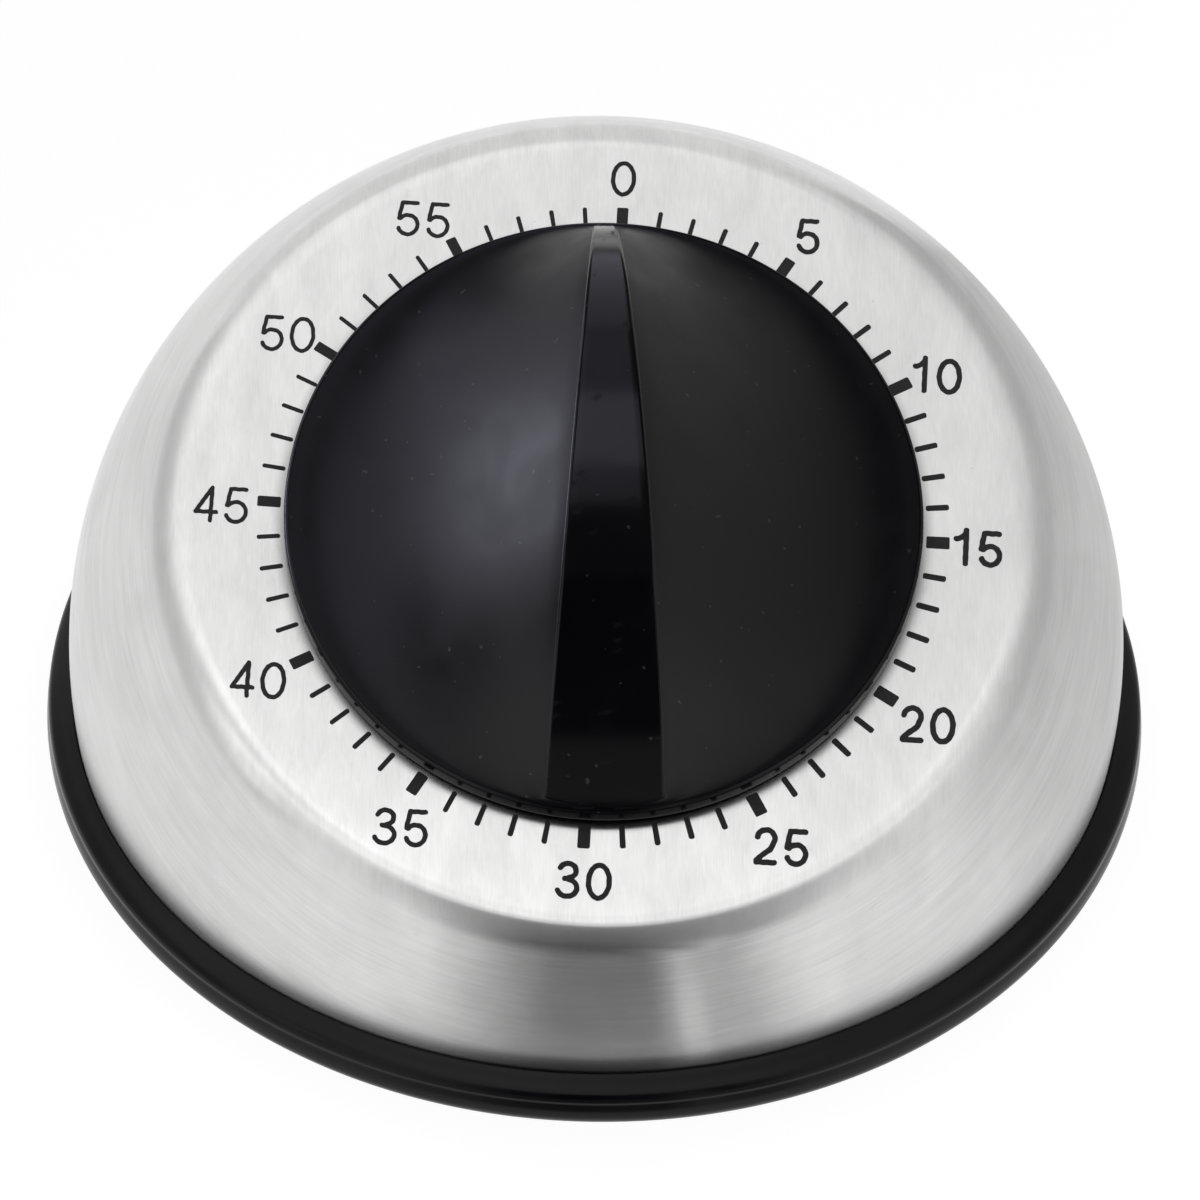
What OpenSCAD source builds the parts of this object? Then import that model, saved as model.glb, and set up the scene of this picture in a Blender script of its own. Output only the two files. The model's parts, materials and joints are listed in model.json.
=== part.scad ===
// Wind-up kitchen timer, 60 minutes: a steel dome with a tilted dial, a black knob
// with a wedge grip, a black base ring and the spring-driven movement that hangs
// from the dial.
//
// Row frame: origin at the centre of the resting face, +Z up, the dial leans
// towards -Y. Everything on the knob's axis is drawn in the dial frame: its origin
// is the centre of the dial's outer face, +Z points out of the dial, +Y up the
// slope of the dial and +X to the right of somebody who reads it.

/* [Case] */
// Outer radius of the steel dome
shell_radius = 43; // [42.6:0.1:43.4]
// Sheet thickness of the dome
shell_wall = 0.6; // [0.5:0.1:0.7]
// Lean of the dial towards the reader, in degrees
dial_tilt = 23; // [20:0.5:24]
// Distance from the dome's centre to the dial
dial_offset = 25.84; // [25.5:0.01:26.2]
// Radius of the rounded shoulder between dial and dome
shoulder_radius = 4; // [3:0.5:5]
// Height of the dome's centre over the table
dome_height = 9.2; // [9.1:0.1:9.4]

/* [Base] */
// Widest radius of the base ring
ring_radius = 45.07; // [44.8:0.01:45.6]
// Height of the ring's underside over the table
ring_lift = 0.8; // [0.6:0.1:0.9]
// Number of rubber feet
foot_count = 4; // [3:1:6]
// Radius of one rubber foot
foot_radius = 4.5; // [3:0.5:5]
// Number of screws that hold the bottom cover
screw_count = 3; // [3:1:6]

/* [Dial] */
// Outer radius of the minute marks
mark_radius = 27.1; // [26.5:0.1:28]
// Length of a minute mark
mark_length = 1.6; // [1.2:0.1:2]
// Width of a five-minute mark
major_width = 0.75; // [0.5:0.05:1]
// Width of a one-minute mark
minor_width = 0.3; // [0.2:0.05:0.4]
// Height of a numeral
numeral_height = 3.1; // [2.4:0.1:3.4]
// Clockwise turn of the whole print from the top of the dial, in degrees
print_turn = 3.7; // [0:0.1:6]

/* [Knob] */
// Radius of the knob's rim
knob_radius = 24.8; // [24:0.1:25]
// Height of the rim's top edge over the dial
knob_rim = 3.0; // [2.9:0.1:3.4]
// Height of the grip's crest over the rim
grip_height = 15; // [12:0.5:17]
// Width of the grip at the pointer
pointer_width = 1.6; // [1.2:0.1:2.4]
// Width of the grip at the near end
grip_width = 9.5; // [8:0.5:11]
// Clockwise turn of the pointer from the top of the dial, in degrees
pointer_turn = 0.4; // [0:0.1:3]

/* [Movement] */
// Radius of the two movement plates
plate_radius = 28; // [27.5:0.5:29]
// Thickness of a movement plate
plate_wall = 0.8; // [0.6:0.1:1]
// Number of turns of the mainspring
spring_turns = 7; // [5:1:7]

/* [Hidden] */

$fn = 96;

// Levels in the dial frame, from the dial down
dial_back = -shell_wall;
front_top = -2.6;
front_bottom = front_top - plate_wall;
back_top = -14.0;
back_bottom = back_top - plate_wall;
spring_top = -3.9;
spring_bottom = -8.1;
cam_top = -8.4;
cam_bottom = -9.1;
main_wheel_top = -9.85;
main_wheel_bottom = -10.85;
second_wheel_top = -12.2;
second_wheel_bottom = -12.9;
third_wheel_top = -6.6;
third_wheel_bottom = -7.2;
escape_wheel_top = -4.4;
escape_wheel_bottom = -5.0;

// Arbors and running fits
arbor_radius = 2.0;
run_gap = 0.04;
small_arbor = 0.9;
pivot_radius = 0.6;
flat_depth = 0.8;

// Gear train: modules and tooth counts
main_teeth = 60;
main_module = 0.5;
second_teeth = 48;
second_module = 0.4;
third_teeth = 42;
third_module = 0.3;
pinion_leaves = 8;
escape_teeth = 15;
escape_radius = 6;

// Where the arbors stand, from the centre distances of the gears
second_distance = (main_teeth + pinion_leaves) * main_module / 2;
third_reach = (second_teeth + pinion_leaves) * second_module / 2;
escape_reach = (third_teeth + pinion_leaves) * third_module / 2;
pallet_reach = 8.2;
third_distance = 18.5;
escape_distance = 19;
pallet_distance = 19.5;
second_angle = 150;
third_angle = second_angle + side_angle(second_distance, third_distance, third_reach);
escape_angle = third_angle + side_angle(third_distance, escape_distance, escape_reach);
pallet_angle = escape_angle + side_angle(escape_distance, pallet_distance, pallet_reach);
second_place = polar(second_distance, second_angle);
third_place = polar(third_distance, third_angle);
escape_place = polar(escape_distance, escape_angle);
pallet_place = polar(pallet_distance, pallet_angle);

// Alarm: where the bell, the hammer and the release lever stand
bell_place = [0, 2];
bell_radius = 20;
bell_rim = -16.2;
bell_rise = 6;
bell_wall = 0.9;
hammer_place = [23.2, -6.2];
hammer_reach = 13;
hammer_heading = 100;
hammer_head_radius = 1.3;
release_place = [9.5, 16.45];
release_foot = [6.95, 1.2];
release_tail = [17.6, 6.6];
hammer_tail = [20.6, 4.4];
cam_radius = 6.5;

// Pillars of the movement
pillar_distance = 25;
pillar_angles = [30, 100, 258, 318];
pillar_radius = 1.75;
screw_shank = 0.8;

// Base
flange_radius = 36;
shell_foot = 4.4;
cover_top = 2.4;
cover_radius = 41.4;
screw_circle = 38.3;
foot_circle = 31;

function polar(r, a) = [r * cos(a), r * sin(a)];
function side_angle(a, b, c) = acos((a * a + b * b - c * c) / (2 * a * b));
function mix(a, b, t) = a + (b - a) * t;

// ---------- frames and shared shapes ----------

module dial_frame() {
    translate([0, 0, dome_height])
        rotate([dial_tilt, 0, 0])
            translate([0, 0, dial_offset])
                children();
}

module at(place, level) {
    translate([place[0], place[1], level]) children();
}

module slab(low, high, radius) {
    translate([0, 0, low]) cylinder(h = high - low, r = radius);
}

module tube_between(low, high, outer, inner) {
    difference() {
        slab(low, high, outer);
        slab(low - 1, high + 1, inner);
    }
}

module bar(from, to, width) {
    length = norm(to - from);
    heading = atan2(to[1] - from[1], to[0] - from[0]);
    translate(from)
        rotate(heading)
            translate([0, -width / 2]) square([length, width]);
    translate(from) circle(d = width);
    translate(to) circle(d = width);
}

// Half section of the dome: a sphere cut by the dial, with a round shoulder
module dome_section(radius, flat, shoulder) {
    reach = sqrt(pow(radius - shoulder, 2) - pow(flat - shoulder, 2));
    slope = atan2(flat - shoulder, reach);
    far = 2 * radius;
    intersection() {
        circle(r = radius, $fn = 240);
        polygon([[0, -far], [far, -far], [far, far * tan(slope)], [0, 0]]);
    }
    translate([reach, flat - shoulder]) circle(r = shoulder);
    polygon([[0, 0], [reach, flat - shoulder], [reach, flat], [0, flat]]);
}

// ---------- gears ----------

// One tooth of a gear with involute flanks, thinned so that it runs free
function flank_turn(r, base) = r <= base ? 0 : let(a = acos(base / r)) tan(a) * 180 / PI - a;
function tooth(teeth, m, addendum, dedendum, share, turn) =
    let(
        pitch = teeth * m / 2,
        base = pitch * cos(20),
        half = 180 * share / teeth + flank_turn(pitch, base),
        tip = pitch + addendum * m,
        root = pitch - dedendum * m,
        radii = [root, (root + pitch) / 2, pitch, (pitch + tip) / 2, tip]
    )
    concat(
        [for (r = radii) polar(r, turn - half + flank_turn(r, base))],
        [for (i = [len(radii) - 1:-1:0]) polar(radii[i], turn + half - flank_turn(radii[i], base))]
    );
function gear_outline(teeth, m, addendum, dedendum, share) =
    [for (i = [0:teeth - 1]) each tooth(teeth, m, addendum, dedendum, share, i * 360 / teeth)];

module wheel_outline(teeth, m) {
    polygon(gear_outline(teeth, m, 0.75, 1.05, 0.36));
}

module pinion_outline(m) {
    polygon(gear_outline(pinion_leaves, m, 0.7, 1.0, 0.34));
}

// A cut wheel with a bore and round windows between its spokes
module train_wheel(teeth, m, low, high, bore, windows) {
    window_circle = teeth * m * 0.3;
    window_radius = teeth * m * 0.105;
    translate([0, 0, low])
        linear_extrude(height = high - low)
            difference() {
                wheel_outline(teeth, m);
                circle(r = bore);
                for (i = [0:windows - 1])
                    translate(polar(window_circle, (i + 0.5) * 360 / windows)) circle(r = window_radius);
            }
}

// A steel arbor with turned pivots in both plates and a pinion cut on it
module pinion_arbor(m, low, high, body_radius) {
    slab(back_bottom, front_top, pivot_radius);
    slab(back_top + 0.3, front_bottom - 0.3, body_radius);
    translate([0, 0, low])
        linear_extrude(height = high - low) pinion_outline(m);
}

// ---------- case ----------

module shell() {
    color("silver") {
        difference() {
            dial_frame()
                translate([0, 0, -dial_offset])
                    rotate_extrude($fn = 240)
                        difference() {
                            dome_section(shell_radius, dial_offset, shoulder_radius);
                            dome_section(
                                shell_radius - shell_wall,
                                dial_offset - shell_wall,
                                shoulder_radius - shell_wall
                            );
                        }
            translate([-60, -60, shell_foot - 80]) cube([120, 120, 80]);
            dial_frame() slab(-5, 5, 4.1);
        }
        difference() {
            slab(shell_foot, shell_foot + shell_wall, shell_radius - shell_wall);
            slab(shell_foot - 1, shell_foot + 2, flange_radius);
            cover_screw_places() slab(shell_foot - 1, shell_foot + 2, 0.95);
        }
    }
}

module base_ring() {
    edge = 1.5;
    color("#17171a")
        difference() {
            rotate_extrude($fn = 240) {
                polygon([
                    [flange_radius + 0.5, cover_top],
                    [cover_radius + 0.1, cover_top],
                    [cover_radius + 0.1, ring_lift],
                    [ring_radius - edge, ring_lift],
                    [ring_radius - edge, ring_lift + edge],
                    [ring_radius, ring_lift + edge],
                    [ring_radius - 0.15, ring_lift + 2.6],
                    [ring_radius - 0.55, ring_lift + 3.45],
                    [ring_radius - 0.95, ring_lift + 3.75],
                    [shell_radius - 0.12, ring_lift + 4.3],
                    [shell_radius - 0.17, shell_foot],
                    [flange_radius + 0.5, shell_foot]
                ]);
                translate([ring_radius - edge, ring_lift + edge]) circle(r = edge);
            }
            cover_screw_places() slab(cover_top - 1, shell_foot + 1, 1.15);
        }
}

module cover_screw_places() {
    for (i = [0:screw_count - 1])
        rotate([0, 0, 90 + i * 360 / screw_count]) translate([screw_circle, 0, 0]) children();
}

module foot_places() {
    for (i = [0:foot_count - 1])
        rotate([0, 0, 45 + i * 360 / foot_count]) translate([foot_circle, 0, 0]) children();
}

module bottom_cover() {
    foot_seat = 0.4;
    color("#202022")
        difference() {
            slab(ring_lift, cover_top, cover_radius);
            slab(ring_lift - 1, ring_lift + 0.4, 22);
            cover_screw_places() slab(ring_lift - 1, cover_top + 1, 1.15);
            cover_screw_places() slab(ring_lift - 1, ring_lift + 1.1, 2.3);
            foot_places() slab(ring_lift - 1, ring_lift + foot_seat, foot_radius + 0.1);
        }
}

module rubber_feet() {
    color("#2b2b2b") foot_places() slab(0, ring_lift + 0.4, foot_radius);
}

module cover_screws() {
    color("lightgray")
        cover_screw_places()
            difference() {
                union() {
                    slab(ring_lift + 0.2, ring_lift + 1.1, 2.0);
                    slab(ring_lift + 1, shell_foot + 2.2, 0.95);
                }
                translate([-1.1, -0.2, ring_lift]) cube([2.2, 0.4, 0.6]);
                translate([-0.2, -1.1, ring_lift]) cube([0.4, 2.2, 0.6]);
            }
}

// ---------- dial print ----------

ink = 0.04;

module minute_marks() {
    minor_gap = 5.7;
    major_gap = (30 - 3 * minor_gap) / 2;
    color("#242424")
        dial_frame()
            rotate([0, 0, -print_turn])
                for (i = [0:11])
                    rotate([0, 0, -30 * i]) {
                        mark(major_width);
                        for (k = [0:3])
                            rotate([0, 0, -(major_gap + k * minor_gap)]) mark(minor_width);
                    }
}

module mark(width) {
    translate([-width / 2, mark_radius - mark_length, 0]) cube([width, mark_length, ink]);
}

// Numerals are drawn with a pen of constant width, one unit high
pen = 0.115;
function arc(c, rx, ry, a0, a1, n) =
    [for (i = [0:n]) let(a = mix(a0, a1, i / n)) c + [rx * cos(a), ry * sin(a)]];

module bow(c, rx, ry, a0, a1) {
    steps = 14;
    polygon(concat(
        arc(c, rx, ry, a0, a1, steps),
        reverse(arc(c, rx - pen, ry - pen, a0, a1, steps))
    ));
}

module digit(d) {
    if (d == 0)
        difference() {
            polygon(arc([0, 0.5], 0.32, 0.52, 0, 351, 39));
            polygon(arc([0, 0.5], 0.32 - pen, 0.52 - pen, 0, 351, 39));
        }
    if (d == 1) {
        bar([0.09, 0.05], [0.09, 0.95], pen);
        bar([0.09, 0.95], [-0.16, 0.74], pen);
    }
    if (d == 2) {
        bow([0.01, 0.72], 0.31, 0.29, 172, -38);
        bar([0.21, 0.57], [-0.27, 0.06], pen);
        bar([-0.27, 0.06], [0.29, 0.06], pen);
    }
    if (d == 3) {
        bow([0, 0.75], 0.28, 0.26, 165, -78);
        bow([0, 0.28], 0.32, 0.29, 78, -165);
    }
    if (d == 4) {
        bar([0.3, 0.26], [-0.29, 0.26], pen);
        bar([-0.29, 0.26], [0.12, 0.94], pen);
        bar([0.12, 0.94], [0.12, 0.05], pen);
    }
    if (d == 5) {
        bar([0.26, 0.94], [-0.15, 0.94], pen);
        bar([-0.15, 0.94], [-0.23, 0.48], pen);
        bow([0.0, 0.32], 0.32, 0.32, 137, -160);
    }
}

module numerals() {
    pitch = 0.76;
    numeral_circle = 29.8;
    color("#242424")
        dial_frame()
            rotate([0, 0, -print_turn])
                for (i = [0:11]) {
                    minutes = 5 * i;
                    tens = floor(minutes / 10);
                    place = polar(numeral_circle, 90 - 30 * i);
                    translate([place[0], place[1] - numeral_height / 2, 0])
                        linear_extrude(height = ink)
                            scale(numeral_height) {
                                translate([tens > 0 ? pitch / 2 : 0, 0]) digit(minutes % 10);
                                if (tens > 0) translate([-pitch / 2, 0]) digit(tens);
                            }
                }
}

// ---------- knob ----------

// The finger faces and the grip stand on the rim's flat top, one small step above it
top_radius = knob_radius - 0.9;
top_step = 0.15;
// Height of the grip's crest line over the step, an arch from edge to edge
function arch(v) =
    let(
        rise = grip_height - top_step,
        r = (top_radius * top_radius + rise * rise) / (2 * rise)
    )
    sqrt(max(0, r * r - v * v)) - (r - rise);
function grip_half(v) = mix(grip_width, pointer_width, (v / knob_radius + 1) / 2) / 2;
// Hollow fall of the finger faces from the grip's edge to the rim
function fall(t) = pow(1 - t, 2.1);

module grip() {
    rows = 28;
    side = 8;
    floor_level = knob_rim - 1.2;
    columns = 2 * side + 3;
    function row_v(j) = top_radius * sin(mix(-86, 86, j / rows));
    function row_edge(v) = sqrt(top_radius * top_radius - v * v);
    function fin(v) = min(grip_half(v), 0.96 * row_edge(v));
    function offset_share(k) = k <= side ? 1 - k / side : (k - side - 2) / side;
    function point(j, k) =
        let(v = row_v(j), f = fin(v), e = row_edge(v))
        k == side + 1 ? [0, v, arch(v)] :
        let(t = offset_share(k), s = k <= side ? -1 : 1, q = pow(t, 1.3))
        [s * mix(f, e, q), v, arch(v) * fall(q)];
    top = [for (j = [0:rows]) for (k = [0:columns - 1]) point(j, k) + [0, 0, knob_rim + top_step]];
    base = [for (p = top) [p[0], p[1], floor_level]];
    count = len(top);
    function id(j, k) = j * columns + k;
    upper = [for (j = [0:rows - 1]) for (k = [0:columns - 2])
        each [[id(j, k), id(j + 1, k), id(j, k + 1)], [id(j, k + 1), id(j + 1, k), id(j + 1, k + 1)]]];
    lower = [for (f = upper) [f[0] + count, f[2] + count, f[1] + count]];
    ring = concat(
        [for (k = [0:columns - 1]) id(0, k)],
        [for (j = [1:rows]) id(j, columns - 1)],
        [for (k = [columns - 2:-1:0]) id(rows, k)],
        [for (j = [rows - 1:-1:1]) id(j, 0)]
    );
    wall = [for (i = [0:len(ring) - 1])
        let(a = ring[i], b = ring[(i + 1) % len(ring)])
        each [[a, b, a + count], [b, b + count, a + count]]];
    polyhedron(points = concat(top, base), faces = concat(upper, lower, wall));
}

module knob() {
    gap = 0.4;
    corner = 0.7;
    rim_wall = 1.6;
    hub_radius = 4.2;
    recess = 3.3;
    bore_top = 12.3;
    color("#121214")
        dial_frame()
            rotate([0, 0, -pointer_turn])
                difference() {
                    union() {
                        rotate_extrude($fn = 240) {
                            translate([0, gap]) square([knob_radius - corner, knob_rim - gap]);
                            translate([0, gap]) square([knob_radius, knob_rim - gap - corner]);
                            translate([knob_radius - corner, knob_rim - corner]) circle(r = corner);
                        }
                        grip();
                    }
                    tube_between(gap - 1, 1.6, knob_radius - rim_wall, 10.6);
                    slab(gap - 1, recess, 9.2);
                    difference() {
                        slab(recess - 1, bore_top, arbor_radius + 0.05);
                        translate([arbor_radius - flat_depth + 0.35, -5, recess - 2]) cube([5, 10, 20]);
                    }
                }
}

module knob_clip() {
    color("lightgray")
        dial_frame()
            rotate([0, 0, -pointer_turn])
                translate([arbor_radius - flat_depth + 0.01, -1.1, 3.8]) cube([0.3, 2.2, 7.6]);
}

// ---------- fixing to the dial ----------

module dial_washer() {
    color("silver") dial_frame() tube_between(0, 0.5, 6.8, 4.05);
}

module dial_nut() {
    color("silver")
        dial_frame()
            difference() {
                translate([0, 0, 0.5]) cylinder(h = 2, d = 11 / cos(30), $fn = 6);
                slab(0, 3, 4.0);
            }
}

module front_bushing() {
    color("darkkhaki")
        dial_frame()
            difference() {
                union() {
                    slab(front_bottom, 2.6, 4.0);
                    slab(front_top, dial_back, 6);
                }
                slab(-10, 10, arbor_radius + run_gap);
            }
}

// ---------- movement frame ----------

module pillar_places() {
    for (a = pillar_angles) at(polar(pillar_distance, a), 0) children();
}

module plate(low, high, main_hole) {
    difference() {
        slab(low, high, plate_radius);
        slab(low - 1, high + 1, main_hole);
        pillar_places() slab(low - 1, high + 1, screw_shank + 0.1);
        for (place = [second_place, third_place, escape_place])
            at(place, 0) slab(low - 1, high + 1, pivot_radius + run_gap);
        for (place = [pallet_place, hammer_place, release_place])
            at(place, 0) slab(low - 1, high + 1, small_arbor + run_gap);
    }
}

module front_plate() {
    color("lightsteelblue") dial_frame() plate(front_bottom, front_top, 4.0);
}

module back_plate() {
    color("lightsteelblue") dial_frame() plate(back_bottom, back_top, 1.2 + run_gap);
}

module plate_pillars() {
    color("gray")
        dial_frame()
            pillar_places()
                difference() {
                    slab(back_top, front_bottom, pillar_radius);
                    slab(back_top - 1, back_top + 3, screw_shank);
                    slab(front_bottom - 3, front_bottom + 1, screw_shank);
                }
}

module plate_screw(seat, outward) {
    head = 0.8;
    translate([0, 0, seat])
        rotate([outward > 0 ? 0 : 180, 0, 0])
            difference() {
                union() {
                    slab(0, head, 1.6);
                    slab(-3, 0.1, screw_shank);
                }
                translate([-2, -0.2, head - 0.35]) cube([4, 0.4, 1]);
            }
}

module plate_screws() {
    color("silver")
        dial_frame()
            pillar_places() {
                plate_screw(front_top, 1);
                plate_screw(back_bottom, -1);
            }
}

// ---------- knob's arbor ----------

module main_arbor() {
    color("lightgray")
        dial_frame()
            rotate([0, 0, -pointer_turn])
                difference() {
                    union() {
                        slab(-13.2, 12, arbor_radius);
                        slab(back_bottom + 0.05, -13, 1.2);
                        slab(-8.3, -3.6, 3.0);
                    }
                    translate([arbor_radius - flat_depth, -5, 3]) cube([5, 10, 20]);
                }
}

module alarm_cam() {
    notch = 2.2;
    color("gold")
        dial_frame()
            rotate([0, 0, -pointer_turn])
                difference() {
                    slab(cam_bottom, cam_top, cam_radius);
                    slab(cam_bottom - 1, cam_top + 1, arbor_radius);
                    at(polar(cam_radius + 0.4, 20), cam_bottom - 1) cylinder(h = 3, r = notch / 2);
                }
}

module clutch_spring() {
    arm_reach = 8;
    color("silver")
        dial_frame()
            rotate([0, 0, -pointer_turn]) {
                translate([0, 0, -9.5])
                    linear_extrude(height = 0.3)
                        difference() {
                            union() {
                                circle(r = 3.6);
                                for (i = [0:2]) bar([0, 0], polar(arm_reach, 120 * i), 2);
                            }
                            circle(r = arbor_radius);
                        }
                for (i = [0:2])
                    at(polar(arm_reach, 120 * i), 0) slab(main_wheel_top + 0.05, -9.45, 0.8);
            }
}

module clutch_collar() {
    color("darkkhaki")
        dial_frame() tube_between(-11.9, main_wheel_bottom - 0.05, 3.6, arbor_radius);
}

function spiral(turns, inner, outer, steps, side) =
    [for (i = [0:steps * turns])
        let(t = i / (steps * turns))
        polar(mix(inner, outer, t) + side, 330 - 360 * turns * (1 - t))];

module mainspring() {
    ribbon = 0.3;
    steps = 30;
    inner = 3.6;
    outer = 11.1;
    color("#5a6470")
        dial_frame()
            translate([0, 0, spring_bottom])
                linear_extrude(height = spring_top - spring_bottom)
                    polygon(concat(
                        spiral(spring_turns, inner, outer, steps, -ribbon / 2),
                        reverse(spiral(spring_turns, inner, outer, steps, ribbon / 2))
                    ));
}

function reverse(list) = [for (i = [len(list) - 1:-1:0]) list[i]];

module spring_post() {
    color("silver") dial_frame() at(polar(12.1, 330), 0) slab(-8.2, front_bottom, 0.8);
}

// ---------- gear train ----------

module main_wheel() {
    color("goldenrod")
        dial_frame()
            rotate([0, 0, second_angle])
                train_wheel(
                    main_teeth, main_module, main_wheel_bottom, main_wheel_top,
                    arbor_radius + run_gap, 4
                );
}

// A pinion stands with a gap between two leaves towards the wheel that drives it
module second_pinion() {
    color("silver")
        dial_frame()
            at(second_place, 0)
                rotate([0, 0, second_angle + 180 + 180 / pinion_leaves])
                    pinion_arbor(main_module, main_wheel_bottom - 0.5, main_wheel_top + 0.5, small_arbor);
}

function heading(from, to) = atan2(to[1] - from[1], to[0] - from[0]);

module second_wheel() {
    color("goldenrod")
        dial_frame()
            at(second_place, 0)
                rotate([0, 0, heading(second_place, third_place)])
                    train_wheel(
                        second_teeth, second_module, second_wheel_bottom, second_wheel_top,
                        small_arbor, 4
                    );
}

module third_pinion() {
    color("silver")
        dial_frame()
            at(third_place, 0)
                rotate([0, 0, heading(third_place, second_place) + 180 / pinion_leaves])
                    pinion_arbor(second_module, second_wheel_bottom - 0.4, second_wheel_top + 0.4, small_arbor);
}

module third_wheel() {
    color("goldenrod")
        dial_frame()
            at(third_place, 0)
                rotate([0, 0, heading(third_place, escape_place)])
                    train_wheel(
                        third_teeth, third_module, third_wheel_bottom, third_wheel_top,
                        small_arbor, 4
                    );
}

module escape_pinion() {
    color("silver")
        dial_frame()
            at(escape_place, 0)
                rotate([0, 0, heading(escape_place, third_place) + 180 / pinion_leaves])
                    pinion_arbor(third_module, third_wheel_bottom - 0.4, third_wheel_top + 0.4, 0.7);
}

module escape_wheel() {
    root = escape_radius - 1.3;
    step = 360 / escape_teeth;
    color("goldenrod")
        dial_frame()
            at(escape_place, escape_wheel_bottom)
                linear_extrude(height = escape_wheel_top - escape_wheel_bottom)
                    difference() {
                        polygon([for (i = [0:escape_teeth - 1]) each [
                            polar(root, i * step),
                            polar(escape_radius, i * step + 4),
                            polar(escape_radius, i * step + 6),
                            polar(root, i * step + 13)
                        ]]);
                        circle(r = 0.7);
                        for (i = [0:3]) translate(polar(2.8, 45 + 90 * i)) circle(r = 1.1);
                    }
}

// ---------- escapement ----------

module pallet_arbor() {
    color("silver") dial_frame() at(pallet_place, 0) slab(back_bottom, -1.0, small_arbor);
}

module pallet_lever() {
    pin_radius = 0.3;
    pin_distance = escape_radius + pin_radius + 0.4;
    pin_spread = 38;
    along = heading(escape_place, pallet_place);
    color("darkkhaki")
        dial_frame() {
            translate([0, 0, -5.9])
                linear_extrude(height = 0.6)
                    difference() {
                        union() {
                            translate(pallet_place) circle(r = 1.8);
                            for (s = [-1, 1])
                                bar(
                                    pallet_place,
                                    escape_place + polar(pin_distance, along + s * pin_spread),
                                    1.1
                                );
                        }
                        translate(pallet_place) circle(r = small_arbor);
                    }
            for (s = [-1, 1])
                at(escape_place + polar(pin_distance, along + s * pin_spread), 0)
                    slab(-5.4, escape_wheel_top + 0.3, pin_radius);
        }
}

module balance_bar() {
    half = 6.5;
    across = pallet_angle + 90;
    color("gold")
        dial_frame()
            translate([0, 0, -2.1])
                linear_extrude(height = 1.0)
                    difference() {
                        union() {
                            bar(pallet_place + polar(half, across), pallet_place - polar(half, across), 1.6);
                            translate(pallet_place) circle(r = 1.8);
                            for (s = [-1, 1])
                                translate(pallet_place + s * polar(half, across)) circle(r = 2.2);
                        }
                        translate(pallet_place) circle(r = small_arbor);
                    }
}

// ---------- alarm ----------

bell_curve = (bell_radius * bell_radius + bell_rise * bell_rise) / (2 * bell_rise);
bell_centre = bell_rim - bell_rise + bell_curve;

module bell() {
    color("gainsboro")
        dial_frame()
            at(bell_place, bell_centre)
                rotate_extrude($fn = 160)
                    intersection() {
                        difference() {
                            circle(r = bell_curve, $fn = 360);
                            circle(r = bell_curve - bell_wall, $fn = 360);
                        }
                        translate([1.55, -bell_curve - 1])
                            square([bell_radius + 5, bell_rise + 1]);
                    }
}

module bell_post() {
    color("silver")
        dial_frame()
            at(bell_place, 0) {
                slab(bell_rim - bell_rise + bell_wall + 0.12, back_bottom, 2.5);
                slab(-24.4, back_bottom - 1, 1.5);
            }
}

module bell_nut() {
    color("silver")
        dial_frame()
            at(bell_place, 0)
                difference() {
                    translate([0, 0, -24.0]) cylinder(h = 1.75, d = 5.5 / cos(30), $fn = 6);
                    slab(-25, -21, 1.5);
                }
}

hammer_tip = hammer_place + polar(hammer_reach, hammer_heading);

module hammer_arbor() {
    color("silver") dial_frame() at(hammer_place, 0) slab(-17.6, front_top, small_arbor);
}

module hammer_arm() {
    color("lightgray")
        dial_frame() {
            translate([0, 0, -17.4])
                linear_extrude(height = 0.8)
                    difference() {
                        union() {
                            translate(hammer_place) circle(r = 2);
                            bar(hammer_place, hammer_tip, 1.4);
                        }
                        translate(hammer_place) circle(r = small_arbor);
                    }
            translate([0, 0, cam_bottom])
                linear_extrude(height = cam_top - cam_bottom)
                    difference() {
                        union() {
                            translate(hammer_place) circle(r = 1.8);
                            bar(hammer_place, hammer_tail, 1.2);
                        }
                        translate(hammer_place) circle(r = small_arbor);
                    }
        }
}

module hammer_head() {
    color("darkkhaki")
        dial_frame()
            at(hammer_tip, 0) {
                slab(-16.55, -15.4, hammer_head_radius);
                slab(-18.6, -17.45, hammer_head_radius);
            }
}

// A torsion spring: a round wire wound round an arbor, with closed ends
module coil_spring(inner, wire, low, high, turns) {
    steps = 16;
    sides = 6;
    rings = steps * turns;
    mean = inner + wire / 2;
    function centre_turn(i) = 360 * i / steps;
    function level(i) = mix(low + wire / 2, high - wire / 2, i / rings);
    points = [for (i = [0:rings]) for (k = [0:sides - 1])
        let(a = centre_turn(i), b = 360 * k / sides, r = mean + wire / 2 * cos(b))
        [r * cos(a), r * sin(a), level(i) + wire / 2 * sin(b)]];
    function id(i, k) = i * sides + k % sides;
    skin = [for (i = [0:rings - 1]) for (k = [0:sides - 1])
        each [[id(i, k), id(i, k + 1), id(i + 1, k)], [id(i, k + 1), id(i + 1, k + 1), id(i + 1, k)]]];
    first = [for (k = [sides - 1:-1:0]) id(0, k)];
    last = [for (k = [0:sides - 1]) id(rings, k)];
    polyhedron(points = points, faces = concat(skin, [first, last]));
}

module hammer_spring() {
    color("#5a6470")
        dial_frame() at(hammer_place, 0) coil_spring(small_arbor + 0.15, 0.3, -13.2, -9.3, 8);
}

module release_arbor() {
    color("silver") dial_frame() at(release_place, 0) slab(back_bottom, front_top, small_arbor);
}

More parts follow.
